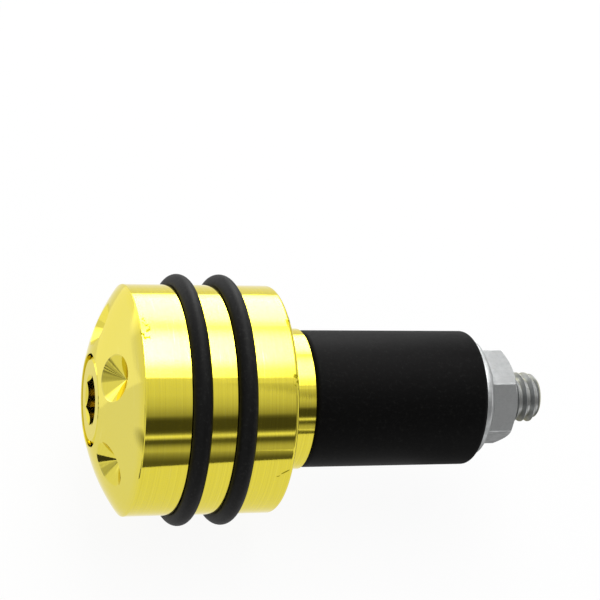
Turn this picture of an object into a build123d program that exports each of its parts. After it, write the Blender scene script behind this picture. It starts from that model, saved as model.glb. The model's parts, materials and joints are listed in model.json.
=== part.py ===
from build123d import *
import os
from math import cos, radians, sin, sqrt, tan

# Bar end weight for a motorbike handlebar, in millimetres.
# The axis of everything is X. The origin is the centre of the head's flat back face,
# which seats on the end of the handlebar tube. The dome points to -X, the nut to +X.

# Head
head_diameter = 26.0
head_length = 17.0
dome_radius = 22.5
seat_edge_chamfer = 0.2
rim_edge_radius = 0.3

# Spigot behind the head
spigot_diameter = 16.2
spigot_length = 3.6
spigot_edge_chamfer = 0.15

# Dimples around the dome
dimple_count = 5
dimple_diameter = 5.2
dimple_pitch_radius = 8.5
dimple_point_angle = 118.0
dimple_first_angle = 47.0

# O-rings and their grooves
o_ring_section = 2.1
o_ring_stands_proud = 1.24
o_ring_front_from_rim = 6.2
o_ring_rear_from_rim = 11.2
groove_floor_clearance = 0.05
groove_side_clearance = 0.05

# Rubber sleeve
sleeve_diameter = 15.8
sleeve_length = 20.9
sleeve_edge_radius = 0.7

# Nut, with a flange that presses on the sleeve
nut_sides = 6
nut_across_flats = 10.0
nut_height = 5.0
nut_chamfer_angle = 30.0
nut_face_inside_flats = 0.5
flange_diameter = 13.7
flange_rim_width = 0.8
flange_rim_radius = 0.3
flange_slope_angle = 32.0
thread_clearance = 0.05

# Bolt
thread_diameter = 5.9
thread_past_nut = 4.0
tip_chamfer = 0.6
bolt_head_diameter = 10.0
bolt_head_height = 6.0
bolt_head_edge = 0.5
bolt_head_below_mouth = 0.1
key_sides = 6
key_across_flats = 5.0
key_depth = 3.0
key_drill_angle = 120.0

# Clearances around the bolt
bolt_hole_clearance = 0.25
counterbore_clearance = 0.2

# Radii and places worked out from the sizes above
head_radius = head_diameter / 2
spigot_radius = spigot_diameter / 2
thread_radius = thread_diameter / 2
bolt_head_radius = bolt_head_diameter / 2
hole_radius = thread_radius + bolt_hole_clearance
counterbore_radius = bolt_head_radius + counterbore_clearance
o_ring_centre_radius = head_radius + o_ring_stands_proud - o_ring_section / 2
groove_floor_radius = o_ring_centre_radius - o_ring_section / 2 - groove_floor_clearance
groove_width = o_ring_section + 2 * groove_side_clearance


def dome_height_at(radius):
    """Height of the dome's sphere above the rim, at a distance from the axis."""
    return sqrt(dome_radius**2 - radius**2) - sqrt(dome_radius**2 - head_radius**2)


rim_x = -head_length
apex_x = rim_x - dome_height_at(0)
counterbore_mouth_x = rim_x - dome_height_at(counterbore_radius)
bolt_face_x = counterbore_mouth_x + bolt_head_below_mouth
bolt_seat_x = bolt_face_x + bolt_head_height
sleeve_x = spigot_length
nut_x = sleeve_x + sleeve_length
nut_end_x = nut_x + nut_height
bolt_tip_x = nut_end_x + thread_past_nut
o_ring_places = {
    "o_ring_front": rim_x + o_ring_front_from_rim,
    "o_ring_rear": rim_x + o_ring_rear_from_rim,
}

os.makedirs("parts", exist_ok=True)


# Head: one turned piece, from the dome to the spigot
with BuildPart() as head:
    with BuildSketch(Plane.XY):
        with BuildLine():
            RadiusArc((apex_x, 0), (rim_x, head_radius), dome_radius)
            Polyline(
                (rim_x, head_radius),
                (0, head_radius),
                (0, spigot_radius),
                (spigot_length, spigot_radius),
                (spigot_length, 0),
                (apex_x, 0),
            )
        make_face()
    revolve(axis=Axis.X)

    round_edges = head.edges().filter_by(lambda edge: edge.is_closed)
    rim_edge, seat_edge = round_edges.group_by(SortBy.RADIUS)[-1].sort_by(Axis.X)
    spigot_edge = round_edges.sort_by(Axis.X)[-1]
    fillet(rim_edge, radius=rim_edge_radius)
    chamfer(seat_edge, length=seat_edge_chamfer)
    chamfer(spigot_edge, length=spigot_edge_chamfer)

    # O-ring grooves in the side
    for place in o_ring_places.values():
        with BuildSketch(Plane.XY):
            with Locations((place, head_radius)):
                Rectangle(groove_width, 2 * (head_radius - groove_floor_radius))
        revolve(axis=Axis.X, mode=Mode.SUBTRACT)

    # Way through for the bolt, with a counterbore that sinks its head
    with Locations(Plane(origin=(apex_x, 0, 0), z_dir=(-1, 0, 0))):
        CounterBoreHole(hole_radius, counterbore_radius, bolt_seat_x - apex_x)

    # Conical dimples, each drilled square to the dome
    dimple_radius = dimple_diameter / 2
    mouth_drop = dome_radius - sqrt(dome_radius**2 - dimple_radius**2)
    dimple_slope = tan(radians(dimple_point_angle / 2))
    dimple_depth = dimple_radius / dimple_slope
    cone_height = dimple_depth + 2 * mouth_drop
    for i in range(dimple_count):
        angle = radians(dimple_first_angle + i * 360 / dimple_count)
        across, up = cos(angle), sin(angle)
        centre_x = apex_x + dome_radius
        centre_to_dome = Vector(
            -sqrt(dome_radius**2 - dimple_pitch_radius**2),
            dimple_pitch_radius * across,
            dimple_pitch_radius * up,
        )
        surface = Plane(origin=Vector(centre_x, 0, 0) + centre_to_dome, z_dir=centre_to_dome)
        with Locations(surface.offset(-mouth_drop - dimple_depth)):
            Cone(
                0,
                cone_height * dimple_slope,
                cone_height,
                align=(Align.CENTER, Align.CENTER, Align.MIN),
                mode=Mode.SUBTRACT,
            )
head.part.label = "head"
export_step(head.part, "parts/head.step")


# O-rings: one plain ring in each groove
for ring_name, place in o_ring_places.items():
    with BuildPart() as o_ring:
        with BuildSketch(Plane.XY):
            with Locations((place, o_ring_centre_radius)):
                Circle(o_ring_section / 2)
        revolve(axis=Axis.X)
    o_ring.part.label = ring_name
    export_step(o_ring.part, f"parts/{ring_name}.step")


# Rubber sleeve: squeezed between the spigot and the nut's flange
with BuildPart() as rubber_sleeve:
    with BuildSketch(Plane.YZ.offset(sleeve_x)):
        Circle(sleeve_diameter / 2)
        Circle(hole_radius, mode=Mode.SUBTRACT)
    extrude(amount=sleeve_length)
    end_edges = rubber_sleeve.edges().filter_by(GeomType.CIRCLE).group_by(SortBy.RADIUS)[-1]
    fillet(end_edges, radius=sleeve_edge_radius)
rubber_sleeve.part.label = "rubber_sleeve"
export_step(rubber_sleeve.part, "parts/rubber_sleeve.step")


# Nut: a hexagon with its corners turned off at the outer face
with BuildPart() as nut:
    with BuildSketch(Plane.YZ.offset(nut_x)):
        RegularPolygon(nut_across_flats / 2, nut_sides, major_radius=False)
    extrude(amount=nut_height)
    face_radius = nut_across_flats / 2 - nut_face_inside_flats
    corner_radius = nut_across_flats / 2 / cos(radians(180 / nut_sides))
    corner_drop = (corner_radius - face_radius) * tan(radians(nut_chamfer_angle))
    with BuildSketch(Plane.XY):
        Polygon(
            (nut_x, 0),
            (nut_x, corner_radius),
            (nut_end_x - corner_drop, corner_radius),
            (nut_end_x, face_radius),
            (nut_end_x, 0),
            align=None,
        )
    revolve(axis=Axis.X, mode=Mode.INTERSECT)

    # Flange, sloping up from its rim into the hexagon
    flange_radius = flange_diameter / 2
    nut_bore_radius = thread_radius + thread_clearance
    slope_rise = (flange_radius - nut_bore_radius) * tan(radians(flange_slope_angle))
    with BuildSketch(Plane.XY):
        Polygon(
            (nut_x, 0),
            (nut_x, flange_radius),
            (nut_x + flange_rim_width, flange_radius),
            (nut_x + flange_rim_width + slope_rise, nut_bore_radius),
            (nut_x + flange_rim_width + slope_rise, 0),
            align=None,
        )
    revolve(axis=Axis.X)
    rim_edges = nut.edges().filter_by(GeomType.CIRCLE).group_by(SortBy.RADIUS)[-1]
    fillet(rim_edges, radius=flange_rim_radius)

    # Way through for the thread
    with BuildSketch(Plane.YZ.offset(nut_x)):
        Circle(nut_bore_radius)
    extrude(amount=nut_height, mode=Mode.SUBTRACT)
nut.part.label = "nut"
export_step(nut.part, "parts/nut.step")


# Bolt: socket head and shank, with a plain shank where the fine thread is
with BuildPart() as bolt:
    with BuildSketch(Plane.YZ.offset(bolt_face_x)):
        Circle(bolt_head_radius)
    extrude(amount=bolt_head_height)
    head_edge = bolt.edges().sort_by(Axis.X)[0]
    chamfer(head_edge, length=bolt_head_edge)
    with BuildSketch(Plane.YZ.offset(bolt_seat_x)):
        Circle(thread_radius)
    extrude(amount=bolt_tip_x - bolt_seat_x)
    tip_edge = bolt.edges().sort_by(Axis.X)[-1]
    chamfer(tip_edge, length=tip_chamfer)

    # Hexagon socket for the key, over the drill point it was broached from
    with BuildSketch(Plane.YZ.offset(bolt_face_x)):
        RegularPolygon(key_across_flats / 2, key_sides, major_radius=False)
    extrude(amount=key_depth, mode=Mode.SUBTRACT)
    drill_radius = key_across_flats / 2
    drill_point = drill_radius / tan(radians(key_drill_angle / 2))
    with BuildSketch(Plane.XY):
        Polygon(
            (bolt_face_x + key_depth, 0),
            (bolt_face_x + key_depth, drill_radius),
            (bolt_face_x + key_depth + drill_point, 0),
            align=None,
        )
    revolve(axis=Axis.X, mode=Mode.SUBTRACT)
bolt.part.label = "bolt"
export_step(bolt.part, "parts/bolt.step")
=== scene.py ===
# %% [markdown]
# # A handlebar end weight
# A bar end weight is a heavy turned knob that plugs the open end of a motorbike's handlebar.
# A long bolt runs through it, and squeezes a rubber sleeve until the sleeve grips inside the tube.
# The sizes come from a CAD model, which is loaded first and never moved. Everything else in this
# lesson is modelled around it, in metres, along the X axis: dome at -X, nut and thread at +X.

# %% Load the CAD frame
import json
from math import acos, cos, degrees, pi, radians, sin, sqrt, tan

import bpy
from mathutils import Matrix, Vector

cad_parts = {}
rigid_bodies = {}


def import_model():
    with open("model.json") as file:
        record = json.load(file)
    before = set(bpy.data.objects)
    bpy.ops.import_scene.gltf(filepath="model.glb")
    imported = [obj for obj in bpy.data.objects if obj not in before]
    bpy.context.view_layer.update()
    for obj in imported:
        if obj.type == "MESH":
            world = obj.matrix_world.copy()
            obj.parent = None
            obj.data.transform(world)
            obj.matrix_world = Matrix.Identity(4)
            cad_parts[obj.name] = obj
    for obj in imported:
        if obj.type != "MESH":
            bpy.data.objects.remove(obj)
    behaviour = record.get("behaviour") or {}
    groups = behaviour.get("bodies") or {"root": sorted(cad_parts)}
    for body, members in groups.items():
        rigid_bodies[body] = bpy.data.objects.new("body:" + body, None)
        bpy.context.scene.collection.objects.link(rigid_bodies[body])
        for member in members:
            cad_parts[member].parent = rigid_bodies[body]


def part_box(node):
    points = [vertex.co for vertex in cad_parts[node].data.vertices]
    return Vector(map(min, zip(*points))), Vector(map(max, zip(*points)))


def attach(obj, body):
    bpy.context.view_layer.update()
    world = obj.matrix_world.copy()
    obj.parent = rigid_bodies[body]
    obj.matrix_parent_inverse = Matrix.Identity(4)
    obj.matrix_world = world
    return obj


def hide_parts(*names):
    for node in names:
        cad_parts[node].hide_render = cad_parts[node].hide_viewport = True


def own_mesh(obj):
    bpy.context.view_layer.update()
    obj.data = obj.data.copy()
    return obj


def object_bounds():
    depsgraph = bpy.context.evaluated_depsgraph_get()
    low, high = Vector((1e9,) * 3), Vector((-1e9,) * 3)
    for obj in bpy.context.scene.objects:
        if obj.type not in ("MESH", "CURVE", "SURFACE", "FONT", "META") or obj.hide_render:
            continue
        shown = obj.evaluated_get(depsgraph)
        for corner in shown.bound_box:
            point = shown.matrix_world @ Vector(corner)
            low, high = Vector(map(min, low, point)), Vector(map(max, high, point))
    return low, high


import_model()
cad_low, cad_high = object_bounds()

mm = 0.001
print("CAD box in millimetres:", [round(side / mm, 2) for side in cad_high - cad_low])

# %% [markdown]
# ## Reading sizes off the frame
# A CAD node's box gives most of what a turned piece needs: where it starts and ends along X, and its
# radius. Reading these keeps the Blender pieces true to the CAD when it changes. Only what a box
# can't tell, such as the dome's radius or a groove's depth, is written down again below.

# %% Measure the nodes


def span(node):
    """Start, end and largest radius of a turned CAD node."""
    low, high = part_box(node)
    return low.x, high.x, high.y


head_start, spigot_end, head_radius = span("head")
sleeve_start, sleeve_end, sleeve_radius = span("rubber_sleeve")
nut_start, nut_end, flange_radius = span("nut")
bolt_face, bolt_tip, bolt_head_radius = span("bolt")
ring_nodes = ["o_ring_front", "o_ring_rear"]
for name, x in {"head": head_start, "spigot end": spigot_end, "bolt tip": bolt_tip}.items():
    print(name, "at", round(x / mm, 3), "mm")

# %% [markdown]
# ## A few helpers
# Operators act on whatever is selected, so each step first clears the selection. `lathe` does what a
# lathe does: it takes half of a piece's outline and spins it round the axis. The outline starts as a
# plane that is merged to one point, and each further point is extruded from the last. A chain that
# ends away from the axis is closed into a loop first, which gives a piece with a hole through it.
# `rounded_corner` gives the points of a small arc, so that an outline can have true round edges.

# %% Helpers for selecting and turning
join_within = 0.0005 * mm


def deselect_all():
    """Clears the selection, so that the next operator touches nothing by accident."""
    bpy.ops.object.select_all(action="DESELECT")


def make_active(piece):
    """Selects one piece alone, and makes it the one that operators work on."""
    deselect_all()
    piece.select_set(True)
    bpy.context.view_layer.objects.active = piece


def lathe(name, outline, steps):
    """Spins a half outline of (x, radius) points round the X axis into a closed piece."""
    deselect_all()
    bpy.ops.mesh.primitive_plane_add(size=mm)
    piece = bpy.context.object
    piece.name = name
    bpy.ops.object.mode_set(mode="EDIT")
    bpy.ops.mesh.merge(type="CENTER")
    bpy.ops.transform.translate(value=(outline[0][0], outline[0][1], 0))
    for (x, radius), (next_x, next_radius) in zip(outline, outline[1:]):
        step = (next_x - x, next_radius - radius, 0)
        bpy.ops.mesh.extrude_vertices_move(TRANSFORM_OT_translate={"value": step})
    bpy.ops.mesh.select_all(action="SELECT")
    if outline[0][1] > 0 and outline[-1][1] > 0:
        bpy.ops.object.mode_set(mode="OBJECT")
        last = len(outline) - 1
        for vertex in piece.data.vertices:
            vertex.select = vertex.index in (0, last)
        for edge in piece.data.edges:
            edge.select = False
        bpy.ops.object.mode_set(mode="EDIT")
        bpy.ops.mesh.edge_face_add()
        bpy.ops.mesh.select_all(action="SELECT")
    bpy.ops.mesh.spin(steps=steps, angle=2 * pi, center=(0, 0, 0), axis=(1, 0, 0))
    bpy.ops.mesh.select_all(action="SELECT")
    bpy.ops.mesh.remove_doubles(threshold=join_within)
    bpy.ops.mesh.normals_make_consistent(inside=False)
    bpy.ops.object.mode_set(mode="OBJECT")
    print(name, "turned:", len(piece.data.polygons), "faces")
    return piece


def rounded_corner(x, radius, edge, first_degrees, turn_degrees=90, steps=8):
    """Points of an arc round a centre, from an angle (+X is 0, outwards is 90) and turning back."""
    points = []
    for i in range(steps + 1):
        angle = radians(first_degrees - turn_degrees * i / steps)
        points.append((x + edge * cos(angle), radius + edge * sin(angle)))
    return points


# %% Helpers for cutting and shading
sliver_points = 0.006 * mm
sliver_width = 0.002 * mm


def combine(piece, tool, operation):
    """Cuts, joins or trims a piece with another one, which is then deleted."""
    make_active(piece)
    bpy.ops.object.modifier_add(type="BOOLEAN")
    modifier = piece.modifiers[-1]
    modifier.object = tool
    modifier.operation = operation
    modifier.solver = "EXACT"
    bpy.ops.object.modifier_apply(modifier=modifier.name)
    bpy.data.objects.remove(tool)
    print(piece.name, operation.lower(), "gives", len(piece.data.polygons), "faces")


def merge_slivers(piece):
    """Merges the points of faces too thin to shade well, which cuts leave where they meet."""
    make_active(piece)
    bpy.ops.object.mode_set(mode="EDIT")
    bpy.ops.mesh.select_all(action="SELECT")
    bpy.ops.mesh.remove_doubles(threshold=sliver_points)
    bpy.ops.mesh.dissolve_degenerate(threshold=sliver_width)
    bpy.ops.mesh.normals_make_consistent(inside=False)
    bpy.ops.object.mode_set(mode="OBJECT")
    print(piece.name, "keeps", len(piece.data.polygons), "faces without slivers")


def smooth(piece, sharp_degrees):
    """Shades smooth, and keeps every edge that is sharper than the angle."""
    make_active(piece)
    bpy.ops.object.shade_smooth_by_angle(angle=radians(sharp_degrees))


# %% [markdown]
# ## The head
# The head is one bar of aluminium, turned to a shallow dome with a plain side, two square grooves for
# the O-rings, a flat back and a spigot. A stack of cylinders would leave seams, so the whole outline
# is drawn once and spun. The dome is an arc, with many short steps because polished metal shows every
# flat. Each corner that a hand would touch has its own tiny break, which catches a line of light. A
# narrow strip beside each rounded edge keeps its smooth shading from bending the long faces next to it.

# %% Sizes of the head
dome_radius = 22.5 * mm
head_length = 17.0 * mm
rim_round = 0.12 * mm
seat_round = 0.4 * mm
edge_strip = 0.03 * mm
spigot_radius = 8.1 * mm
spigot_chamfer = 0.15 * mm
counterbore_radius = 5.2 * mm
counterbore_lip = 0.1 * mm
hole_radius = 3.2 * mm
bolt_head_height = 6.0 * mm
groove_floor_radius = 12.09 * mm
groove_width = 2.2 * mm
groove_lip = 0.04 * mm
dome_steps = 48
turn_steps = 288

rim_x = -head_length
dome_centre_x = rim_x + sqrt(dome_radius**2 - head_radius**2)
print("the dome's sphere is centred at", round(dome_centre_x / mm, 3), "mm")

# %% The head's outline


def dome_point(radius):
    """The point of the dome's outline at a distance from the axis."""
    return dome_centre_x - sqrt(dome_radius**2 - radius**2), radius


def groove_points(middle):
    """A square groove, its lips broken, as outline points from front to back."""
    front, back = middle - groove_width / 2, middle + groove_width / 2
    return [
        (front - groove_lip, head_radius),
        (front, head_radius - groove_lip),
        (front, groove_floor_radius),
        (back, groove_floor_radius),
        (back, head_radius - groove_lip),
        (back + groove_lip, head_radius),
    ]


ring_places = {node: sum(span(node)[:2]) / 2 for node in ring_nodes}
bolt_seat = bolt_face + bolt_head_height
rim_centre_radius = head_radius - rim_round
rim_reach = dome_radius - rim_round
rim_centre_x = dome_centre_x - sqrt(rim_reach**2 - rim_centre_radius**2)
rim_turn = acos(rim_centre_radius / rim_reach)
dome_inner = counterbore_radius + counterbore_lip
dome_outer = dome_radius * cos(rim_turn)
head_outline = [(head_start + counterbore_lip, counterbore_radius)]
for i in range(dome_steps + 1):
    head_outline.append(dome_point(dome_inner + (dome_outer - dome_inner) * i / dome_steps))
rim_degrees = degrees(rim_turn)
rim_corner = rounded_corner(rim_centre_x, rim_centre_radius, rim_round, 90 + rim_degrees, rim_degrees)
head_outline += rim_corner[1:]
head_outline.append((rim_centre_x + edge_strip, head_radius))
for place in ring_places.values():
    head_outline += groove_points(place)
head_outline.append((-seat_round - edge_strip, head_radius))
head_outline += rounded_corner(-seat_round, head_radius - seat_round, seat_round, 90)
head_outline += [
    (0, head_radius - seat_round - edge_strip),
    (0, spigot_radius),
    (spigot_end - spigot_chamfer, spigot_radius),
    (spigot_end, spigot_radius - spigot_chamfer),
    (spigot_end, hole_radius),
    (bolt_seat, hole_radius),
    (bolt_seat, counterbore_radius),
]
head = lathe("gold_head", head_outline, turn_steps)

# %% [markdown]
# ## Five dimples
# The dimples are only the marks of a drill's point, so each is a plain cone cut square to the dome.
# One cone is made with its tip at the origin, copied and turned to each place round the axis, and all
# five are taken out of the head in one cut. The tip is as deep as the drill's angle makes it for a
# dimple of that width. Smooth shading would blend the normals at a tip until the cone looks like a bowl,
# so the many narrow faces of the dimples are shaded flat, and mirror a fan of rays as a drilled mark does.

# %% Drill the dimples
dimple_count = 5
dimple_radius = 2.6 * mm
dimple_pitch_radius = 8.5 * mm
dimple_half_angle = radians(118 / 2)
dimple_first_angle = radians(47)
dimple_sides = 240

mouth_drop = dome_radius - sqrt(dome_radius**2 - dimple_radius**2)
dimple_depth = dimple_radius / tan(dimple_half_angle)
drill_height = dimple_depth + 2 * mouth_drop
dome_centre = Vector((dome_centre_x, 0, 0))
deselect_all()
bpy.ops.mesh.primitive_cone_add(
    vertices=dimple_sides,
    radius1=0,
    radius2=drill_height * tan(dimple_half_angle),
    depth=drill_height,
    location=(0, 0, drill_height / 2),
)
bpy.ops.object.transform_apply(location=True, rotation=True, scale=True)
drills = [bpy.context.object]
for i in range(1, dimple_count):
    bpy.ops.object.duplicate()
    drills.append(bpy.context.object)
for i, drill in enumerate(drills):
    angle = dimple_first_angle + 2 * pi * i / dimple_count
    x, radius = dome_point(dimple_pitch_radius)
    mouth = Vector((x, radius * cos(angle), radius * sin(angle)))
    outwards = (mouth - dome_centre).normalized()
    drill.location = mouth - outwards * (mouth_drop + dimple_depth)
    drill.rotation_euler = outwards.to_track_quat("Z", "Y").to_euler()
    drill.select_set(True)
bpy.context.view_layer.objects.active = drills[0]
bpy.ops.object.join()
bpy.ops.object.transform_apply(location=True, rotation=True, scale=True)
combine(head, drills[0], "DIFFERENCE")
smooth(head, sharp_degrees=20)

# %% Shade the dimples flat
least_depth, most_depth = 0.05 * mm, 2.5 * mm
flat_faces = 0
for face in head.data.polygons:
    below_dome = dome_radius - (face.center - dome_centre).length
    from_axis = Vector((face.center.y, face.center.z)).length
    on_dimple = abs(from_axis - dimple_pitch_radius) < dimple_radius and face.center.x < rim_x
    if on_dimple and least_depth < below_dome < most_depth:
        face.use_smooth = False
        flat_faces += 1
print("flat faces in the dimples:", flat_faces)

# %% [markdown]
# ## O-rings
# An O-ring is a cord of rubber moulded into a ring, so a torus is the place to start. One is made at the
# origin and copied for the second groove. Stretched into a groove a ring never lies quite true, so each
# copy is then moved to its groove and pushed a little along the axis in slow waves of its own. The push
# stays smaller than the room in the groove.

# %% Make one O-ring and copy it
ring_sides = 40
ring_steps = 256
ring_slack = 0.03 * mm
ring_start, ring_end, ring_radius = span(ring_nodes[0])
section_radius = (ring_end - ring_start) / 2

deselect_all()
bpy.ops.mesh.primitive_torus_add(
    major_segments=ring_steps,
    minor_segments=ring_sides,
    major_radius=ring_radius - section_radius,
    minor_radius=section_radius - ring_slack,
    rotation=(0, pi / 2, 0),
)
bpy.ops.object.transform_apply(location=True, rotation=True, scale=True)
ring = bpy.context.object
smooth(ring, sharp_degrees=60)
bpy.ops.object.duplicate()
rings = dict(zip(ring_nodes, [ring, bpy.context.object]))
print("O-rings of", round(2 * section_radius / mm, 2), "mm cord:", len(rings))

# %% Lay each ring in its groove
ring_waves = {
    "o_ring_front": [(2, 0.02, 0.4), (5, 0.01, 1.9)],
    "o_ring_rear": [(3, 0.02, 2.2), (4, 0.01, 0.3)],
}

for node, ring in rings.items():
    ring.name = "rubber_" + node
    for vertex in ring.data.vertices:
        turn = Vector((vertex.co.y, vertex.co.z)).angle_signed(Vector((1, 0)), 0)
        vertex.co.x += ring_places[node]
        for count, push, phase in ring_waves[node]:
            vertex.co.x += push * mm * sin(count * turn + phase)
    print(ring.name, "at", round(ring_places[node] / mm, 2), "mm")

# %% [markdown]
# ## Rubber sleeve
# The sleeve is a plain tube of matt rubber, turned like the head, with both outer edges rounded.

# %% Turn the sleeve
sleeve_edge = 0.7 * mm

sleeve = lathe(
    "plug_sleeve",
    [
        (sleeve_start, hole_radius),
        *rounded_corner(sleeve_start + sleeve_edge, sleeve_radius - sleeve_edge, sleeve_edge, 180),
        *rounded_corner(sleeve_end - sleeve_edge, sleeve_radius - sleeve_edge, sleeve_edge, 90),
        (sleeve_end, hole_radius),
    ],
    turn_steps // 2,
)
smooth(sleeve, sharp_degrees=40)

# %% [markdown]
# ## Flange nut
# A nut is hexagon bar with its corners turned off at 30 degrees, which leaves the curved edges that
# everybody knows. This one spreads into a round flange that presses on the rubber. Three steps make it:
# a six-sided cylinder is trimmed by a turned barrel, a turned flange is joined on, and the hole is cut.
# A fine bevel takes the knife edge off the six corners first, while the prism is still plain, because a
# bevel after the cuts would stumble over their short edges. Weighted normals then keep the flats flat.

# %% Helper for hexagon bar


def hexagon_bar(name, start, end, corner_radius):
    """A six-sided bar along the X axis, by the radius to its corners."""
    deselect_all()
    bpy.ops.mesh.primitive_cylinder_add(
        vertices=6,
        radius=corner_radius,
        depth=end - start,
        location=((start + end) / 2, 0, 0),
        rotation=(0, pi / 2, 0),
    )
    bar = bpy.context.object
    bar.name = name
    bpy.ops.object.transform_apply(location=True, rotation=True, scale=True)
    print(name, "is", round((end - start) / mm, 2), "mm long")
    return bar


# %% Make the nut's hexagon
nut_chamfer = radians(30)
nut_flat_radius = 5.0 * mm
nut_corner_radius = nut_flat_radius / cos(pi / 6)
nut_face_inset = 0.5 * mm
nut_face_radius = nut_flat_radius - nut_face_inset
nut_bevel = 0.15 * mm
barrel_room = 0.5 * mm
barrel_radius = nut_corner_radius + barrel_room
barrel_drop = (barrel_radius - nut_face_radius) * tan(nut_chamfer)
barrel_past = 0.5 * mm
barrel_start = nut_start + 0.2 * mm

nut = hexagon_bar("plated_nut", nut_start, nut_end, nut_corner_radius)
bpy.ops.object.modifier_add(type="BEVEL")
nut.modifiers[-1].width = nut_bevel
nut.modifiers[-1].segments = 3
bpy.ops.object.modifier_apply(modifier=nut.modifiers[-1].name)
barrel = lathe(
    "nut_barrel",
    [
        (barrel_start, 0),
        (barrel_start, barrel_radius),
        (nut_end - barrel_drop, barrel_radius),
        (nut_end + barrel_past, nut_face_radius - barrel_past / tan(nut_chamfer)),
        (nut_end + barrel_past, 0),
    ],
    turn_steps // 2,
)
combine(nut, barrel, "INTERSECT")

# %% Join the flange
nut_hole_radius = 3.0 * mm
rim_width = 0.8 * mm
flange_round = 0.3 * mm
flange_slope = 32
round_length = flange_round * tan(radians(90 - flange_slope) / 2)
slope_rise = (flange_radius - nut_hole_radius) * tan(radians(flange_slope))
round_x, round_radius = nut_start + rim_width - round_length, flange_radius - flange_round

flange = lathe(
    "nut_flange",
    [
        (nut_start, 0),
        *rounded_corner(nut_start + flange_round, round_radius, flange_round, 180),
        *rounded_corner(round_x, round_radius, flange_round, 90, 90 - flange_slope),
        (nut_start + rim_width + slope_rise, nut_hole_radius),
        (nut_start + rim_width + slope_rise, 0),
    ],
    turn_steps // 2,
)
combine(nut, flange, "UNION")

# %% Cut the nut's hole
nut_countersink = 0.3 * mm
bore_past = 1 * mm

bore = lathe(
    "nut_bore",
    [
        (nut_start - bore_past, 0),
        (nut_start - bore_past, nut_hole_radius),
        (nut_end - nut_countersink, nut_hole_radius),
        (nut_end + bore_past, nut_hole_radius + nut_countersink + bore_past),
        (nut_end + bore_past, 0),
    ],
    turn_steps // 2,
)
combine(nut, bore, "DIFFERENCE")
merge_slivers(nut)
smooth(nut, sharp_degrees=25)
bpy.ops.object.modifier_add(type="WEIGHTED_NORMAL")
nut.modifiers[-1].keep_sharp = True
bpy.ops.object.modifier_apply(modifier=nut.modifiers[-1].name)

# %% [markdown]
# ## Bolt
# The bolt has a round head with a hexagon socket, a plain shank and a rolled thread of 1 mm pitch. Head
# and shank are turned. The thread's outline for one turn is drawn flat and wound up by the Screw
# modifier, then cut square at both ends and trimmed by a cone, which gives the real run-out at the tip.

# %% Turn the bolt's head and plain shank
bolt_edge = 0.5 * mm
thread_radius = 2.95 * mm
tip_chamfer = 0.6 * mm
thread_length = 24 * mm
shank_overlap = 1 * mm
thread_start = bolt_tip - thread_length
pitch = 1.0 * mm
thread_depth = 0.5413 * pitch
crest_room = 0.01 * mm
crest_radius = thread_radius - crest_room
root_radius = crest_radius - thread_depth

bolt = lathe(
    "socket_bolt",
    [
        (bolt_face, 0),
        (bolt_face, bolt_head_radius - bolt_edge),
        (bolt_face + bolt_edge, bolt_head_radius),
        (bolt_seat, bolt_head_radius),
        (bolt_seat, thread_radius),
        (thread_start, thread_radius),
        (thread_start + shank_overlap, root_radius / 2),
        (thread_start + 2 * shank_overlap, 0),
    ],
    turn_steps // 2,
)

# %% Wind the thread
thread_wind_steps = 72
thread_turns = int(thread_length / pitch) + 4
thread_room = 0.3 * mm
wind_merge = 0.001 * mm
cut_within = 0.0001 * mm
root_flat, flank, crest_flat = pitch / 4, pitch * 5 / 16, pitch / 8

deselect_all()
bpy.ops.mesh.primitive_plane_add(size=mm)
thread = bpy.context.object
thread.name = "thread"
bpy.ops.object.mode_set(mode="EDIT")
bpy.ops.mesh.merge(type="CENTER")
bpy.ops.transform.translate(value=(thread_start - 2 * pitch, root_radius, 0))
for step in [(root_flat, 0), (flank, thread_depth), (crest_flat, 0), (flank, -thread_depth)]:
    bpy.ops.mesh.extrude_vertices_move(TRANSFORM_OT_translate={"value": (*step, 0)})
bpy.ops.object.mode_set(mode="OBJECT")
bpy.ops.object.modifier_add(type="SCREW")
winding = thread.modifiers[-1]
winding.axis = "X"
winding.screw_offset = pitch
winding.iterations = thread_turns
winding.steps = winding.render_steps = thread_wind_steps
winding.use_merge_vertices = True
winding.merge_threshold = wind_merge
bpy.ops.object.modifier_apply(modifier=winding.name)
bpy.ops.object.mode_set(mode="EDIT")
bpy.ops.mesh.select_all(action="SELECT")
bpy.ops.mesh.remove_doubles(threshold=wind_merge)
for cut_x, outwards in [(thread_start - thread_room, -1), (bolt_tip + thread_room, 1)]:
    bpy.ops.mesh.select_all(action="SELECT")
    bpy.ops.mesh.bisect(
        plane_co=(cut_x, 0, 0),
        plane_no=(outwards, 0, 0),
        use_fill=True,
        clear_outer=True,
        threshold=cut_within,
    )
bpy.ops.mesh.select_all(action="SELECT")
bpy.ops.mesh.normals_make_consistent(inside=False)
bpy.ops.object.mode_set(mode="OBJECT")
print("thread wound:", len(thread.data.polygons), "faces")

# %% Trim the tip and join the thread on
trim_radius = thread_radius + thread_room
tip_form = lathe(
    "tip_form",
    [
        (thread_start - 2 * thread_room, 0),
        (thread_start - 2 * thread_room, trim_radius),
        (bolt_tip - tip_chamfer - thread_room, trim_radius),
        (bolt_tip, thread_radius - tip_chamfer),
        (bolt_tip, 0),
    ],
    turn_steps // 2,
)
combine(thread, tip_form, "INTERSECT")
combine(bolt, thread, "UNION")

# %% Cut the socket's hexagon
key_flat_radius = 2.5 * mm
key_corner_radius = key_flat_radius / cos(pi / 6)
key_depth = 3.0 * mm
key_start = bolt_face - 1 * mm

key = hexagon_bar("socket_key", key_start, bolt_face + key_depth, key_corner_radius)
combine(bolt, key, "DIFFERENCE")

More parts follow.
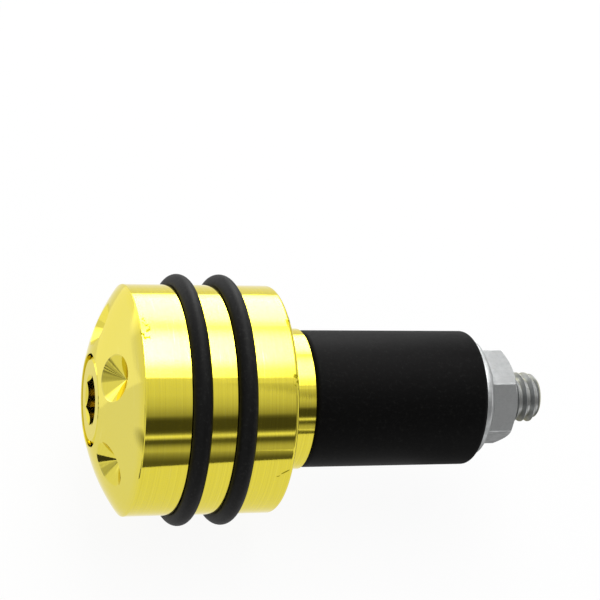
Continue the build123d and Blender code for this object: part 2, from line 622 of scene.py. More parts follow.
# %% Countersink the socket and drill its floor
drill_half_angle = radians(60)
drill_radius = key_flat_radius - 0.01 * mm
drill_point = key_flat_radius / tan(drill_half_angle)
mouth_radius = key_corner_radius + 0.05 * mm
mouth_depth = mouth_radius / tan(drill_half_angle)

mouth = lathe(
    "socket_mouth",
    [
        (key_start, 0),
        (key_start, mouth_radius),
        (bolt_face, mouth_radius),
        (bolt_face + mouth_depth, 0),
    ],
    turn_steps // 3,
)
combine(bolt, mouth, "DIFFERENCE")
drill = lathe(
    "socket_drill",
    [
        (key_start, 0),
        (key_start, drill_radius),
        (bolt_face + key_depth, drill_radius),
        (bolt_face + key_depth + drill_point, 0),
    ],
    turn_steps // 3,
)
combine(bolt, drill, "DIFFERENCE")
smooth(bolt, sharp_degrees=28)

# %% [markdown]
# ## Shared effects as node groups
# Several finishes share the same effects: the fine lines that a lathe tool leaves, the marks of handling,
# the gold colour itself and the plating. Each is a node group, built once with named sockets and placed
# in every material that needs it. The groups read Object coordinates, so a pattern stays on its piece.

# %% Helpers for nodes


def add_node(tree, kind, values=None, **settings):
    """Adds a node, with its settings and the values of its unlinked inputs."""
    node = tree.nodes.new(kind)
    for name, value in settings.items():
        setattr(node, name, value)
    for name, value in (values or {}).items():
        node.inputs[name].default_value = value
    return node


def start_group(name, inputs, outputs):
    """A new node group with its sockets, its input node and its output node."""
    group = bpy.data.node_groups.new(name, "ShaderNodeTree")
    for direction, sockets in (("INPUT", inputs), ("OUTPUT", outputs)):
        for socket, kind in sockets.items():
            group.interface.new_socket(name=socket, in_out=direction, socket_type=kind)
    return group, group.nodes.new("NodeGroupInput"), group.nodes.new("NodeGroupOutput")


def place_group(tree, group, values=None):
    """Places a group in a tree, with the values of its unlinked inputs."""
    return add_node(tree, "ShaderNodeGroup", values, node_tree=group)


def tell(group):
    """Prints how large a group is."""
    print(group.name, "has", len(group.nodes), "nodes")


def mix_colours(tree, first=None, second=None):
    """A Mix node for colours: its share is input 0, its colours are inputs 6 and 7."""
    colours = {6: first, 7: second}
    return add_node(tree, "ShaderNodeMix", {i: c for i, c in colours.items() if c}, data_type="RGBA")


def soft_step(tree, low, high):
    """Goes from 0 at one value to 1 at another, with soft ends."""
    values = {"From Min": low, "From Max": high}
    return add_node(tree, "ShaderNodeMapRange", values, interpolation_type="SMOOTHSTEP")


VECTOR, FLOAT, COLOUR = "NodeSocketVector", "NodeSocketFloat", "NodeSocketColor"

# %% Turning lines
lines_group, lines_in, lines_out = start_group(
    "Turning lines", {"Position": VECTOR, "Lines per metre": FLOAT}, {"Height": FLOAT}
)
split = add_node(lines_group, "ShaderNodeSeparateXYZ")
across = add_node(lines_group, "ShaderNodeCombineXYZ")
radius_node = add_node(lines_group, "ShaderNodeVectorMath", operation="LENGTH")
along = add_node(lines_group, "ShaderNodeMath", operation="ADD")
spread = add_node(lines_group, "ShaderNodeMath", operation="MULTIPLY")
ridge_values = {"Scale": 1.0, "Detail": 3.0, "Roughness": 0.65}
ridges = add_node(lines_group, "ShaderNodeTexNoise", ridge_values, noise_dimensions="1D")
link = lines_group.links.new
link(lines_in.outputs["Position"], split.inputs[0])
link(split.outputs["Y"], across.inputs["Y"])
link(split.outputs["Z"], across.inputs["Z"])
link(across.outputs[0], radius_node.inputs[0])
link(split.outputs["X"], along.inputs[0])
link(radius_node.outputs["Value"], along.inputs[1])
link(along.outputs[0], spread.inputs[0])
link(lines_in.outputs["Lines per metre"], spread.inputs[1])
link(spread.outputs[0], ridges.inputs["W"])
link(ridges.outputs[0], lines_out.inputs["Height"])
tell(lines_group)

# %% Handling marks
marks_group, marks_in, marks_out = start_group(
    "Handling marks",
    {"Position": VECTOR, "Smudge scale": FLOAT},
    {"Scratches": FLOAT, "Smudges": FLOAT},
)
lay = add_node(marks_group, "ShaderNodeMapping", {"Scale": (9000, 220, 220)})
hairs = add_node(marks_group, "ShaderNodeTexNoise", {"Scale": 1.0, "Detail": 2.0})
thin = soft_step(marks_group, 0.66, 0.72)
clouds = add_node(marks_group, "ShaderNodeTexNoise", {"Detail": 4.0, "Roughness": 0.6})
soft = soft_step(marks_group, 0.35, 0.7)
link = marks_group.links.new
link(marks_in.outputs["Position"], lay.inputs["Vector"])
link(lay.outputs[0], hairs.inputs["Vector"])
link(hairs.outputs[0], thin.inputs["Value"])
link(thin.outputs[0], marks_out.inputs["Scratches"])
link(marks_in.outputs["Position"], clouds.inputs["Vector"])
link(marks_in.outputs["Smudge scale"], clouds.inputs["Scale"])
link(clouds.outputs[0], soft.inputs["Value"])
link(soft.outputs[0], marks_out.inputs["Smudges"])
tell(marks_group)

# %% Worn spots
spot_group, spot_in, spot_out = start_group(
    "Worn spot",
    {"Position": VECTOR, "Centre": VECTOR, "Turn": VECTOR, "Reach": VECTOR, "Speckle": FLOAT},
    {"Mask": FLOAT},
)
local = add_node(spot_group, "ShaderNodeMapping", vector_type="TEXTURE")
apart = add_node(spot_group, "ShaderNodeVectorMath", operation="LENGTH")
near = add_node(
    spot_group,
    "ShaderNodeMapRange",
    {"From Min": 0.75, "From Max": 1.0, "To Min": 1.0, "To Max": 0.0},
    interpolation_type="SMOOTHSTEP",
)
crumbs = add_node(spot_group, "ShaderNodeTexNoise", {"Scale": 1900.0, "Detail": 1.0})
specks = soft_step(spot_group, 0.51, 0.55)
whole = add_node(spot_group, "ShaderNodeMix", {2: 1.0}, data_type="FLOAT")
both = add_node(spot_group, "ShaderNodeMath", operation="MULTIPLY")
link = spot_group.links.new
link(spot_in.outputs["Position"], local.inputs["Vector"])
link(spot_in.outputs["Centre"], local.inputs["Location"])
link(spot_in.outputs["Turn"], local.inputs["Rotation"])
link(spot_in.outputs["Reach"], local.inputs["Scale"])
link(local.outputs[0], apart.inputs[0])
link(apart.outputs["Value"], near.inputs["Value"])
link(spot_in.outputs["Position"], crumbs.inputs["Vector"])
link(crumbs.outputs[0], specks.inputs["Value"])
link(spot_in.outputs["Speckle"], whole.inputs[0])
link(specks.outputs[0], whole.inputs[3])
link(near.outputs[0], both.inputs[0])
link(whole.outputs[0], both.inputs[1])
link(both.outputs[0], spot_out.inputs["Mask"])
tell(spot_group)

# %% [markdown]
# ## Gold finish and plating
# The gold is dyed aluminium: a metal whose reflections are yellow, under a thin clear skin. The zinc is a
# grey metal with a faint mottle. Both are groups that put out a colour, a roughness and a height, because
# the bolt wears both of them: gold on its head, bare plating towards the thread. The dome's colour is
# painted paler than the side's, a painted highlight for its bright reflection, and only half as much
# inside the drilled marks. Small knocks have chipped the skin beside the rim and along the back edge. The
# metal is rough there and has lost its clear skin, so it stays plain gold where the polish around it
# mirrors a white panel.

# %% Gold group
gold_light = (0.75, 0.645, 0.046, 1)
gold_deep = (0.69, 0.58, 0.036, 1)
gold_rub = (0.80, 0.74, 0.26, 1)
painted_dome_highlight = (0.72, 0.63, 0.13, 1)
gold_chip = (0.30, 0.255, 0.011, 1)
chip_roughness = 0.5
worn_spots = [
    ((-16.5, -2.3, 12.8), (0, 0, 0), (0.65, 2.0, 0.9), 1.0),
    ((-0.25, -0.9, 12.9), (0, 0, 0), (0.4, 1.8, 0.8), 1.0),
    ((-0.35, -7.6, 10.5), (0, 0, 0), (0.4, 1.4, 1.4), 1.0),
    ((-0.9, -12.92, 1.6), (0, radians(-34), 0), (0.62, 0.4, 0.10), 0.0),
    ((-1.6, -12.97, 1.0), (0, radians(-20), 0), (0.25, 0.4, 0.07), 0.0),
]

gold_group, gold_in, gold_out = start_group(
    "Gold skin",
    {"Position": VECTOR},
    {"Color": COLOUR, "Roughness": FLOAT, "Height": FLOAT, "Coat": FLOAT},
)
lines = place_group(gold_group, lines_group, {"Lines per metre": 5000})
marks = place_group(gold_group, marks_group, {"Smudge scale": 160})
tone = mix_colours(gold_group, gold_light, gold_deep)
rub = mix_colours(gold_group, second=gold_rub)
clear = add_node(gold_group, "ShaderNodeMapRange", {"From Min": 0.36, "From Max": 0.64})
rub_share = add_node(gold_group, "ShaderNodeMath", {1: 0.22}, operation="MULTIPLY")
gloss = add_node(gold_group, "ShaderNodeMapRange", {"To Min": 0.05, "To Max": 0.10})
link = gold_group.links.new
link(gold_in.outputs["Position"], lines.inputs["Position"])
link(gold_in.outputs["Position"], marks.inputs["Position"])
link(lines.outputs["Height"], clear.inputs["Value"])
link(clear.outputs[0], tone.inputs[0])
link(lines.outputs["Height"], gold_out.inputs["Height"])
link(marks.outputs["Scratches"], rub_share.inputs[0])
link(rub_share.outputs[0], rub.inputs[0])
link(marks.outputs["Smudges"], gloss.inputs["Value"])
tell(gold_group)

# %% Gold group: the dome's painted highlight
split = add_node(gold_group, "ShaderNodeSeparateXYZ")
dome_values = {"From Min": rim_x + 0.1 * mm, "From Max": rim_x - 0.6 * mm}
dome_part = add_node(gold_group, "ShaderNodeMapRange", dome_values)
from_centre = add_node(gold_group, "ShaderNodeVectorMath", {1: dome_centre}, operation="DISTANCE")
skin_values = {"From Min": dome_radius - 0.12 * mm, "From Max": dome_radius - 0.04 * mm, "To Min": 0.5}
skin_part = add_node(gold_group, "ShaderNodeMapRange", skin_values)
dome_highlight_share = add_node(gold_group, "ShaderNodeMath", operation="MULTIPLY")
# Painted highlight: the dome's colour is painted paler to stand for its bright reflection, at half
# strength inside the dimples.
dome_highlight_paint = mix_colours(gold_group, second=painted_dome_highlight)
coat = add_node(gold_group, "ShaderNodeMapRange", {"To Min": 0.5, "To Max": 0.06})
link(gold_in.outputs["Position"], split.inputs[0])
link(split.outputs["X"], dome_part.inputs["Value"])
link(gold_in.outputs["Position"], from_centre.inputs[0])
link(from_centre.outputs["Value"], skin_part.inputs["Value"])
link(dome_part.outputs[0], dome_highlight_share.inputs[0])
link(skin_part.outputs[0], dome_highlight_share.inputs[1])
link(dome_highlight_share.outputs[0], dome_highlight_paint.inputs[0])
link(tone.outputs[2], dome_highlight_paint.inputs[6])
link(dome_highlight_paint.outputs[2], rub.inputs[6])
link(dome_part.outputs[0], coat.inputs["Value"])
tell(gold_group)

# %% Gold group: the chips
worn = None
for centre, turn, reach, speckle in worn_spots:
    values = {
        "Centre": [c * mm for c in centre],
        "Turn": turn,
        "Reach": [r * mm for r in reach],
        "Speckle": speckle,
    }
    spot = place_group(gold_group, spot_group, values)
    link(gold_in.outputs["Position"], spot.inputs["Position"])
    if worn:
        most = add_node(gold_group, "ShaderNodeMath", operation="MAXIMUM")
        link(worn, most.inputs[0])
        link(spot.outputs["Mask"], most.inputs[1])
        worn = most.outputs[0]
    else:
        worn = spot.outputs["Mask"]
chipped = mix_colours(gold_group, second=gold_chip)
dulled = add_node(gold_group, "ShaderNodeMix", {3: chip_roughness}, data_type="FLOAT")
bared = add_node(gold_group, "ShaderNodeMix", {3: 0.0}, data_type="FLOAT")
link(worn, chipped.inputs[0])
link(rub.outputs[2], chipped.inputs[6])
link(chipped.outputs[2], gold_out.inputs["Color"])
link(worn, dulled.inputs[0])
link(gloss.outputs[0], dulled.inputs[2])
link(dulled.outputs[0], gold_out.inputs["Roughness"])
link(worn, bared.inputs[0])
link(coat.outputs[0], bared.inputs[2])
link(bared.outputs[0], gold_out.inputs["Coat"])
print("worn spots:", len(worn_spots))
tell(gold_group)

# %% Plating group
zinc_light = (0.52, 0.53, 0.53, 1)
zinc_dull = (0.38, 0.39, 0.39, 1)

zinc_group, zinc_in, zinc_out = start_group(
    "Zinc skin",
    {"Position": VECTOR, "Shade": FLOAT},
    {"Color": COLOUR, "Roughness": FLOAT, "Height": FLOAT},
)
# Shade scales the plating's colour down: painted shade, which the bolt uses to darken its plating below
# the nut's.
painted_shade = add_node(zinc_group, "ShaderNodeVectorMath", operation="SCALE")
marks = place_group(zinc_group, marks_group, {"Smudge scale": 700})
grain = add_node(zinc_group, "ShaderNodeTexNoise", {"Scale": 9000.0, "Detail": 3.0})
tone = mix_colours(zinc_group, zinc_light, zinc_dull)
gloss = add_node(zinc_group, "ShaderNodeMapRange", {"To Min": 0.30, "To Max": 0.46})
link = zinc_group.links.new
link(zinc_in.outputs["Position"], marks.inputs["Position"])
link(zinc_in.outputs["Position"], grain.inputs["Vector"])
link(marks.outputs["Smudges"], tone.inputs[0])
link(marks.outputs["Smudges"], gloss.inputs["Value"])
link(tone.outputs[2], painted_shade.inputs[0])
link(zinc_in.outputs["Shade"], painted_shade.inputs["Scale"])
link(painted_shade.outputs[0], zinc_out.inputs["Color"])
link(gloss.outputs[0], zinc_out.inputs["Roughness"])
link(grain.outputs[0], zinc_out.inputs["Height"])
tell(zinc_group)

# %% Rubber group
rubber_group, rubber_in, rubber_out = start_group(
    "Rubber skin",
    {"Position": VECTOR, "Dust amount": FLOAT},
    {"Color": COLOUR, "Roughness": FLOAT, "Height": FLOAT},
)
rubber_black = (0.0018, 0.0018, 0.0018, 1)
rubber_dust = (0.055, 0.055, 0.052, 1)
grain_values = {"Scale": 5200.0, "Detail": 4.0, "Roughness": 0.6}
speck_values = {"Scale": 2600.0, "Detail": 5.0, "Roughness": 0.75}
grain = add_node(rubber_group, "ShaderNodeTexNoise", grain_values)
specks = add_node(rubber_group, "ShaderNodeTexNoise", speck_values)
fine = soft_step(rubber_group, 0.5, 0.78)
dusted = add_node(rubber_group, "ShaderNodeMath", operation="MULTIPLY")
tone = mix_colours(rubber_group, rubber_black, rubber_dust)
gloss = add_node(rubber_group, "ShaderNodeMapRange", {"To Min": 0.48, "To Max": 0.66})
link = rubber_group.links.new
link(rubber_in.outputs["Position"], grain.inputs["Vector"])
link(rubber_in.outputs["Position"], specks.inputs["Vector"])
link(specks.outputs[0], fine.inputs["Value"])
link(fine.outputs[0], dusted.inputs[0])
link(rubber_in.outputs["Dust amount"], dusted.inputs[1])
link(dusted.outputs[0], tone.inputs[0])
link(grain.outputs[0], gloss.inputs["Value"])
link(tone.outputs[2], rubber_out.inputs["Color"])
link(gloss.outputs[0], rubber_out.inputs["Roughness"])
link(grain.outputs[0], rubber_out.inputs["Height"])
tell(rubber_group)

# %% [markdown]
# ## The materials
# Each material is one Principled BSDF fed by its group, with a Bump node for the group's height. What
# is the same all over, such as the metal's Metallic of 1 or the clear skin's IOR, is set on the shader.

# %% Make the materials


def start_material(name, group, bump_depth, values=None):
    """A material with one group wired to its Principled BSDF, and the group's height to a bump."""
    material = bpy.data.materials.new(name)
    material.use_nodes = True
    tree = material.node_tree
    shader = tree.nodes["Principled BSDF"]
    position = add_node(tree, "ShaderNodeTexCoord")
    skin = place_group(tree, group, values)
    bump = add_node(tree, "ShaderNodeBump", {"Strength": 1.0, "Distance": bump_depth})
    tree.links.new(position.outputs["Object"], skin.inputs["Position"])
    tree.links.new(skin.outputs["Color"], shader.inputs["Base Color"])
    tree.links.new(skin.outputs["Roughness"], shader.inputs["Roughness"])
    tree.links.new(skin.outputs["Height"], bump.inputs["Height"])
    tree.links.new(bump.outputs["Normal"], shader.inputs["Normal"])
    return material, tree, shader, position, skin, bump


gold_edge = (0.95, 0.90, 0.55, 1)
gold_bump = 0.002 * mm
grain_bump = 0.012 * mm

gold, tree, gold_shader, _, gold_skin, _ = start_material("gold_anodised", gold_group, gold_bump)
gold_shader.inputs["Metallic"].default_value = 1.0
gold_shader.inputs["Specular Tint"].default_value = gold_edge
tree.links.new(gold_skin.outputs["Coat"], gold_shader.inputs["Coat Weight"])
gold_shader.inputs["Coat IOR"].default_value = 1.5
gold_shader.inputs["Coat Roughness"].default_value = 0.05

zinc, _, zinc_shader, *_ = start_material("zinc_plated", zinc_group, grain_bump, {"Shade": 1.0})
zinc_shader.inputs["Metallic"].default_value = 1.0

ring_dust = {"Dust amount": 0.35}
ring_rubber, _, ring_shader, *_ = start_material("ring_black", rubber_group, grain_bump, ring_dust)
ring_shader.inputs["Specular IOR Level"].default_value = 0.12

plug_dust = {"Dust amount": 0.14}
plug_rubber, _, plug_shader, *_ = start_material("plug_black", rubber_group, grain_bump, plug_dust)
plug_shader.inputs["Specular IOR Level"].default_value = 0.05
print("materials:", [material.name for material in (gold, zinc, ring_rubber, plug_rubber)])

# %% The bolt's two finishes
gold_ends = bolt_seat
zinc_begins = bolt_seat + 4 * mm

bolt_parts = start_material("bolt_finish", gold_group, gold_bump)
bolt_finish, tree, bolt_shader, position, gold_skin, _ = bolt_parts
bolt_shader.inputs["Metallic"].default_value = 1.0
bolt_shader.inputs["Specular Tint"].default_value = gold_edge
# Painted shade: the bolt's plating is painted 0.8 as bright as the nut's, so the thread looks dimmer.
zinc_skin = place_group(tree, zinc_group, {"Shade": 0.8})
split = add_node(tree, "ShaderNodeSeparateXYZ")
share = add_node(tree, "ShaderNodeMapRange", {"From Min": gold_ends, "From Max": zinc_begins})
colour = mix_colours(tree)
gloss = add_node(tree, "ShaderNodeMix", data_type="FLOAT")
link = tree.links.new
link(position.outputs["Object"], zinc_skin.inputs["Position"])
link(position.outputs["Object"], split.inputs[0])
link(split.outputs["X"], share.inputs["Value"])
link(share.outputs[0], colour.inputs[0])
link(gold_skin.outputs["Color"], colour.inputs[6])
link(zinc_skin.outputs["Color"], colour.inputs[7])
link(colour.outputs[2], bolt_shader.inputs["Base Color"])
link(share.outputs[0], gloss.inputs[0])
link(gold_skin.outputs["Roughness"], gloss.inputs[2])
link(zinc_skin.outputs["Roughness"], gloss.inputs[3])
link(gloss.outputs[0], bolt_shader.inputs["Roughness"])
print("the bolt's gold fades from", round(gold_ends / mm, 2), "to", round(zinc_begins / mm, 2), "mm")

# %% [markdown]
# ## Hand the pieces to the frame
# Every piece rides on the CAD body that carries it, and hides the CAD node that it stands for. The rubber
# sleeve can't follow the nut as a rigid piece: as the nut is drawn in, it shortens against the spigot.
# Here it is only given a mesh of its own.

dressed = [
    (head, "head", "weight", gold, "gold_aluminium"),
    (rings["o_ring_front"], "o_ring_front", "weight", ring_rubber, "ring_rubber"),
    (rings["o_ring_rear"], "o_ring_rear", "weight", ring_rubber, "ring_rubber"),
    (sleeve, "rubber_sleeve", "weight", plug_rubber, "plug_rubber"),
    (nut, "nut", "nut", zinc, "plated_steel"),
    (bolt, "bolt", "bolt", bolt_finish, "bolt_steel"),
]
for piece, node, body, material, slot in dressed:
    piece.data.materials.clear()
    piece.data.materials.append(material)
    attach(piece, body)
    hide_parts(node)
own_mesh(sleeve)

# %% [markdown]
# ## Floor, light and reflections
# Polished metal is a picture of the room, so the room matters as much as the metal. Floor and world look
# white to the camera and to reflections, and are dimmer as sources of light, so that a soft shadow stays
# under the piece. One long softbox hangs above and behind. Reflections don't see it, because what the
# metal mirrors is painted on cards further down.

# %% Lay the floor
floor_size = 3.0
floor_white = (0.86, 0.86, 0.86, 1)
floor_glow = 0.93

deselect_all()
bpy.ops.mesh.primitive_plane_add(size=floor_size, location=(0, 0, cad_low.z))
floor = bpy.context.object
floor.name = "floor"


def add_seen_mask(tree):
    """1 for camera, glossy and transmission rays, which see the background, and 0 for the rest."""
    path = add_node(tree, "ShaderNodeLightPath")
    either = add_node(tree, "ShaderNodeMath", operation="MAXIMUM")
    any_of = add_node(tree, "ShaderNodeMath", operation="MAXIMUM")
    tree.links.new(path.outputs["Is Camera Ray"], either.inputs[0])
    tree.links.new(path.outputs["Is Glossy Ray"], either.inputs[1])
    tree.links.new(either.outputs[0], any_of.inputs[0])
    tree.links.new(path.outputs["Is Transmission Ray"], any_of.inputs[1])
    return any_of.outputs[0]


floor_paper = bpy.data.materials.new("floor_paper")
floor_paper.use_nodes = True
tree = floor_paper.node_tree
tree.nodes.clear()
paper = add_node(tree, "ShaderNodeBsdfDiffuse", {"Color": floor_white})
glow = add_node(tree, "ShaderNodeEmission", {"Strength": 1.0})
glow_share = add_node(tree, "ShaderNodeMath", {1: floor_glow}, operation="MULTIPLY")
mix = add_node(tree, "ShaderNodeMixShader")
output = add_node(tree, "ShaderNodeOutputMaterial")
tree.links.new(add_seen_mask(tree), glow_share.inputs[0])
tree.links.new(glow_share.outputs[0], mix.inputs[0])
tree.links.new(paper.outputs[0], mix.inputs[1])
tree.links.new(glow.outputs[0], mix.inputs[2])
tree.links.new(mix.outputs[0], output.inputs[0])
floor.data.materials.append(floor_paper)
print("floor at", round(cad_low.z / mm, 2), "mm")

# %% White world
world_fill = 0.5

world = bpy.data.worlds.new("studio")
bpy.context.scene.world = world
world.use_nodes = True
tree = world.node_tree
background = tree.nodes["Background"]
background.inputs["Color"].default_value = (1, 1, 1, 1)
strength = add_node(tree, "ShaderNodeMapRange", {"To Min": world_fill, "To Max": 1.0})
tree.links.new(add_seen_mask(tree), strength.inputs["Value"])
tree.links.new(strength.outputs[0], background.inputs["Strength"])
print("the world lights with", world_fill)

# %% Softbox above and behind


def round_axis(turn_degrees, distance, x=0.0):
    """A point round the X axis: 0 degrees is straight in front at -Y, 90 degrees is overhead."""
    angle = radians(turn_degrees)
    return Vector((x, -distance * cos(angle), distance * sin(angle)))


softbox_middle = 119
softbox_distance = 0.35
softbox_width = 0.19
softbox_length = 0.8
softbox_middle_x = 0.05
softbox_energy = 1.6

lamp = bpy.data.lights.new("softbox", "AREA")
lamp.shape = "RECTANGLE"
lamp.size = softbox_width
lamp.size_y = softbox_length
lamp.energy = softbox_energy
softbox = bpy.data.objects.new("softbox", lamp)
bpy.context.scene.collection.objects.link(softbox)
back = round_axis(softbox_middle, 1)
side = Vector((1, 0, 0))
up = back.cross(side)
softbox.matrix_world = Matrix.Translation(
    round_axis(softbox_middle, softbox_distance, softbox_middle_x)
) @ Matrix((side, up, back)).transposed().to_4x4()
softbox.visible_glossy = False
print("softbox", round(lamp.size, 2), "by", round(lamp.size_y, 2), "m,", round(lamp.energy, 2), "W")

# %% [markdown]
# ## Cards for the reflections
# What the polished gold shows is painted on cards that only reflections can see, as a studio uses white
# panels and black flags: pale panels overhead for the light band along the top, a grey card in front with
# two dark bars, and cards on the floor, over the nut and round the dome. Each card is a plane with its
# corners put in place. Its brightness runs along the card by a colour ramp on its UV map, and can fade
# sideways, as a real softbox does towards its ends.

# %% Paint for the cards


def card_paint(name, radiance, stops, fade=1.0, spot=False):
    """Light by (place, level) stops up the card, or inwards on a spot, with a share left at the right."""
    paint = bpy.data.materials.new(name)
    paint.use_nodes = True
    tree = paint.node_tree
    tree.nodes.clear()
    place = add_node(tree, "ShaderNodeTexCoord")
    split = add_node(tree, "ShaderNodeSeparateXYZ")
    ramp = add_node(tree, "ShaderNodeValToRGB")
    sideways = add_node(tree, "ShaderNodeMapRange", {"To Min": radiance, "To Max": radiance * fade})
    strength = add_node(tree, "ShaderNodeMath", operation="MULTIPLY")
    glow = add_node(tree, "ShaderNodeEmission")
    output = add_node(tree, "ShaderNodeOutputMaterial")
    points = ramp.color_ramp.elements
    while len(points) < len(stops):
        points.new(0.5)
    for point, (height, level) in zip(points, sorted(stops)):
        point.position = height
        point.color = (level, level, level, 1)
    tree.links.new(place.outputs["UV"], split.inputs[0])
    if spot:
        centred = add_node(tree, "ShaderNodeMapping", {"Location": (-1, -1, 0), "Scale": (2, 2, 2)})
        spread = add_node(tree, "ShaderNodeTexGradient", gradient_type="SPHERICAL")
        tree.links.new(place.outputs["UV"], centred.inputs["Vector"])
        tree.links.new(centred.outputs[0], spread.inputs[0])
        tree.links.new(spread.outputs["Fac"], ramp.inputs[0])
    else:
        tree.links.new(split.outputs["Y"], ramp.inputs[0])
    tree.links.new(split.outputs["X"], sideways.inputs["Value"])
    tree.links.new(ramp.outputs["Color"], strength.inputs[0])
    tree.links.new(sideways.outputs[0], strength.inputs[1])
    tree.links.new(strength.outputs[0], glow.inputs["Strength"])
    tree.links.new(glow.outputs[0], output.inputs[0])
    return paint


# %% Hang a card


def hang_card(name, corners, paint):
    """A card by its low left, low right, high left and high right corners, seen by reflections alone."""
    deselect_all()
    bpy.ops.mesh.primitive_plane_add(size=1)
    card = bpy.context.object
    card.name = name
    for vertex, corner in zip(card.data.vertices, corners):
        vertex.co = corner
    card.data.materials.append(paint)
    card.visible_camera = False
    card.visible_diffuse = False
    card.visible_shadow = False
    card.visible_transmission = False
    return card


# %% Pale panels overhead
panel_left, panel_right = 0.03, 0.14
panel_distance = 0.35


def hang_panel(name, radiance, levels, fade):
    """A panel that spans its (degrees round the axis, level) pairs, from the first to the last."""
    first, last = levels[0][0], levels[-1][0]
    middle, half = (first + last) / 2, radians(last - first) / 2
    stops = [(0.5 + 0.5 * tan(radians(angle - middle)) / tan(half), level) for angle, level in levels]
    sides = (panel_left, panel_right)
    corners = [round_axis(angle, panel_distance, x) for angle in (first, last) for x in sides]
    return hang_card(name, corners, card_paint(name, radiance, stops, fade))


top_levels = [
    (65.5, 0.30), (69, 0.32), (74, 0.38), (79, 0.69), (84, 0.95), (89, 1.0),
    (100, 1.0), (105, 0.93), (111, 0.70), (117, 0.38), (121, 0.36),
]  # fmt: skip
back_levels = [(121, 0.45), (124, 0.50), (130, 0.85), (137, 0.97), (152, 1.0), (161, 0.93), (172, 0.40)]
hang_panel("panel_top", radiance=16.5, levels=top_levels, fade=0.09)
hang_panel("panel_back", radiance=9.8, levels=back_levels, fade=1.0)
print("panels overhead from", top_levels[0][0], "to", back_levels[-1][0], "degrees")

# %% Grey card in front, with two dark bars
front_y = -0.15
front_low, front_high = -0.014, 0.323
front_left, front_right = 0.0, 0.07
front_middle_x = 0.032
front_rise = 0.2
front_levels = [
    (-14, 0.55), (-8, 0.60), (-2, 0.55), (4, 0.40), (9, 0.21), (13, 0.10), (20, 0.10), (25, 0.7),
    (28, 1.15), (31, 1.1), (34, 0.5), (39, 0.12), (46, 0.07), (72, 0.07), (80, 0.14), (89, 0.38),
    (106, 0.54), (124, 0.69), (172, 0.87), (243, 0.93), (323, 1.0),
]  # fmt: skip
front_span = front_high - front_low
front_stops = [((height * mm - front_low) / front_span, level) for height, level in front_levels]
front_corners = [
    (x, front_y, height + front_rise * (x - front_middle_x))
    for height in (front_low, front_high)
    for x in (front_left, front_right)
]
hang_card("card_front", front_corners, card_paint("card_front", 1.0, front_stops))
print("card_front has", len(front_stops), "levels")

# %% Cards for the nut
nut_card_high, nut_card_right = 0.26, 0.30
nut_card_levels = [(0.0, 0.30), (0.35, 0.32), (0.65, 0.42), (1.0, 0.8)]
nut_card_corners = [
    (x, front_y, z) for z in (front_low, nut_card_high) for x in (front_right, nut_card_right)
]
hang_card("card_nut", nut_card_corners, card_paint("card_nut", 1.0, nut_card_levels))

nut_roof_level = 0.72
nut_roof_z = 50 * mm
nut_roof_corners = [(x * mm, y * mm, nut_roof_z) for y in (-45, 90) for x in (35, 130)]
nut_roof_paint = card_paint("card_nut_roof", nut_roof_level, [(0, 1.0), (1, 1.0)])
hang_card("card_nut_roof", nut_roof_corners, nut_roof_paint)
print("the nut's roof hangs", round((nut_roof_z - cad_low.z) / mm, 1), "mm above the floor")

# %% Lay or stand a card
floor_lift = cad_low.z + 0.2 * mm


def lay_card(name, level, corners, fades=None):
    """A card on the floor by its corners in millimetres, even unless (place, level) pairs fade it."""
    paint = card_paint(name, 1.0, fades or [(0, level), (1, level)])
    return hang_card(name, [(x * mm, y * mm, floor_lift) for x, y in corners], paint)


def stand_card(name, radiance, first, last, distance, levels, fade=1.0):
    """A card that stands on the floor between two bearings, with levels by its height in degrees."""
    top = distance * tan(radians(levels[-1][0]))
    feet = [(distance * cos(radians(a)), distance * sin(radians(a))) for a in (first, last)]
    corners = [(x, y, z) for z in (cad_low.z, top) for x, y in feet]
    height = top - cad_low.z
    stops = [((distance * tan(radians(a)) - cad_low.z) / height, level) for a, level in levels]
    return hang_card(name, corners, card_paint(name, radiance, stops, fade))


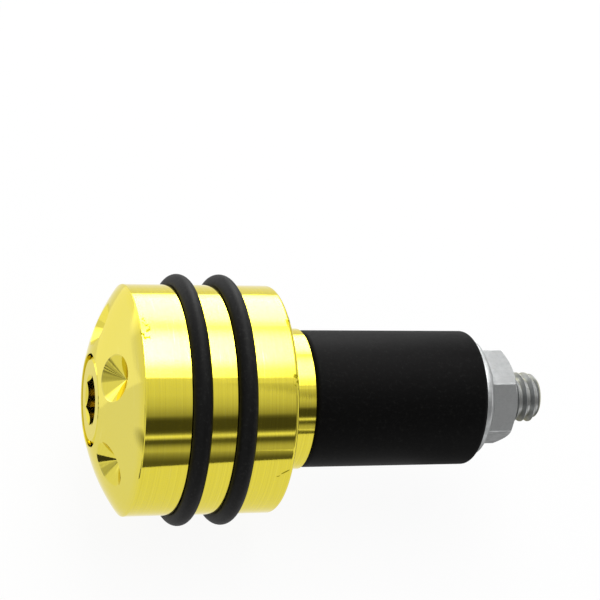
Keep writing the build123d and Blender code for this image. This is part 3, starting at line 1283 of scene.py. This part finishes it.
# %% Cards on the floor
band_fades = [(0, 0.11), (0.16, 0.115), (0.27, 0.165), (0.42, 0.25), (0.65, 0.36), (1, 0.5)]
lay_card("card_floor_band", 0.11, [(-10, -48), (40, -83), (-10, -150), (40, -150)], band_fades)
lay_card("card_floor_nut", 0.42, [(22, -16), (60, -16), (22, 10), (60, 10)])
lay_card("card_floor_near", 0.05, [(-52, -17.5), (-34, -13.5), (-52, -34), (-34, -25)])
lay_card("card_floor_far", 0.6, [(-260, 4), (-68, -21), (-260, -110), (-68, -60)])
lay_card("card_floor_back", 1.2, [(-40, 11), (-600, 127), (-30, 60), (-205, 564)])
print("the cards on the floor lie at", round(floor_lift / mm, 2), "mm")

# %% Cards round the dome
side_levels = [
    (-3, 0.15), (-1, 0.12), (0, 0.9), (2, 0.9), (3, 0.12), (5, 0.12), (6, 0.85), (8, 0.85),
    (9, 0.2), (12, 0.35), (16, 0.6), (22, 0.5), (27, 0.6), (31, 0.8), (33, 1.0),
]  # fmt: skip
stand_card("card_side", 1.0, first=-177, last=-152, distance=0.27, levels=side_levels)
bright_levels = [(-2, 0.65), (4, 0.65), (8, 0.85), (12, 1.0), (18, 0.9), (27, 0.6)]
stand_card("card_bright", 1.6, first=146, last=111, distance=0.4, levels=bright_levels, fade=2.8)

spot_z = floor_lift + 0.1 * mm
spot_corners = [(x * mm, y * mm, spot_z) for y in (-29, -5) for x in (-89, -51)]
spot_paint = card_paint("card_floor_spot", 1.0, [(0, 1.0), (1, 0.15)], spot=True)
hang_card("card_floor_spot", spot_corners, spot_paint)
cards = [card for card in bpy.data.objects if card.name.startswith(("card", "panel"))]
print("cards hung:", len(cards))

# %% [markdown]
# ## Camera
# The photograph was taken from in front, above and a little to the dome's side, with a long lens. The
# place and turn below come from matching the outlines of the rims, rings and nut to the picture.

# %% Place the camera
camera_place = Vector((-57.11, -136.90, 136.44)) * mm
camera_turn = (radians(49.750), radians(-11.981), radians(-12.952))

camera = bpy.data.objects.new("camera", bpy.data.cameras.new("camera"))
bpy.context.scene.collection.objects.link(camera)
camera.location = camera_place
camera.rotation_euler = camera_turn
camera.data.sensor_width = 36
camera.data.lens = 105.05
camera.data.clip_start = 0.01
bpy.context.scene.camera = camera
bpy.context.scene.view_settings.view_transform = "Standard"
print("camera", round(camera_place.length, 3), "m from the origin")
